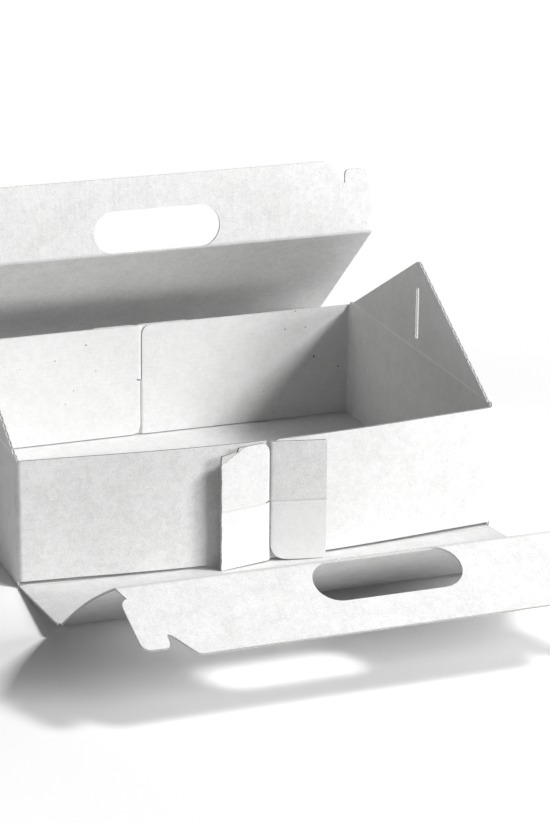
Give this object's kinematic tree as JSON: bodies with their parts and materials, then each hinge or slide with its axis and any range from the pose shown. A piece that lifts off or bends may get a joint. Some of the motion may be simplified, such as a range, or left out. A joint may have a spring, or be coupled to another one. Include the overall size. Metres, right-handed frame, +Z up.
{
  "type": "carry box",
  "caption": "Open carry box of white micro-flute board: interlocked tray, two gable flaps and two three-fold lids with hand slots.",
  "frame": {"origin": "centre of the tray's underside", "axes": "+X to the right along the box, -Y to the front lid, +Z up"},
  "size_m": [0.3, 0.5107, 0.1878],
  "materials": {
    "white_board": "matt white-lined micro-flute board"
  },
  "bodies": {
    "tray": {"tray": "white_board"},
    "front_wall_flap": {"front_wall_flap": "white_board"},
    "front_roof_flap": {"front_roof_flap": "white_board"},
    "front_handle_flap": {"front_handle_flap": "white_board"},
    "back_wall_flap": {"back_wall_flap": "white_board"},
    "back_roof_flap": {"back_roof_flap": "white_board"},
    "back_handle_flap": {"back_handle_flap": "white_board"},
    "left_gable_flap": {"left_gable_flap": "white_board"},
    "right_gable_flap": {"right_gable_flap": "white_board"}
  },
  "joints": [
    {"name": "front_wall_fold", "type": "hinge", "parent": "tray", "child": "front_wall_flap", "pos_m": [0, -0.1192, 0.00075], "axis": [-1, 0, 0], "range_deg": [-5.7, 84.3]},
    {"name": "front_roof_fold", "type": "hinge", "parent": "front_wall_flap", "child": "front_roof_flap", "pos_m": [0, -0.19721, 0.00854], "axis": [-1, 0, 0], "range_deg": [-16.5, 64.7]},
    {"name": "front_handle_fold", "type": "hinge", "parent": "front_roof_flap", "child": "front_handle_flap", "pos_m": [0, -0.29857, 0.06944], "axis": [1, 0, 0], "range_deg": [-60.2, 29.8]},
    {"name": "back_wall_fold", "type": "hinge", "parent": "tray", "child": "back_wall_flap", "pos_m": [0, 0.1192, 0.00075], "axis": [1, 0, 0], "range_deg": [-51.3, 38.7]},
    {"name": "back_roof_fold", "type": "hinge", "parent": "back_wall_flap", "child": "back_roof_flap", "pos_m": [0, 0.16822, 0.06194], "axis": [1, 0, 0], "range_deg": [-88.1, 1.9]},
    {"name": "back_handle_fold", "type": "hinge", "parent": "back_roof_flap", "child": "back_handle_flap", "pos_m": [0, 0.07844, 0.13889], "axis": [-1, 0, 0], "range_deg": [-54, 36]},
    {"name": "left_gable_fold", "type": "hinge", "parent": "tray", "child": "left_gable_flap", "pos_m": [-0.14925, 0, 0.0805], "axis": [0, 1, 0], "range_deg": [-90, 30]},
    {"name": "right_gable_fold", "type": "hinge", "parent": "tray", "child": "right_gable_flap", "pos_m": [0.14925, 0, 0.0805], "axis": [0, -1, 0], "range_deg": [-90, 30]}
  ]
}
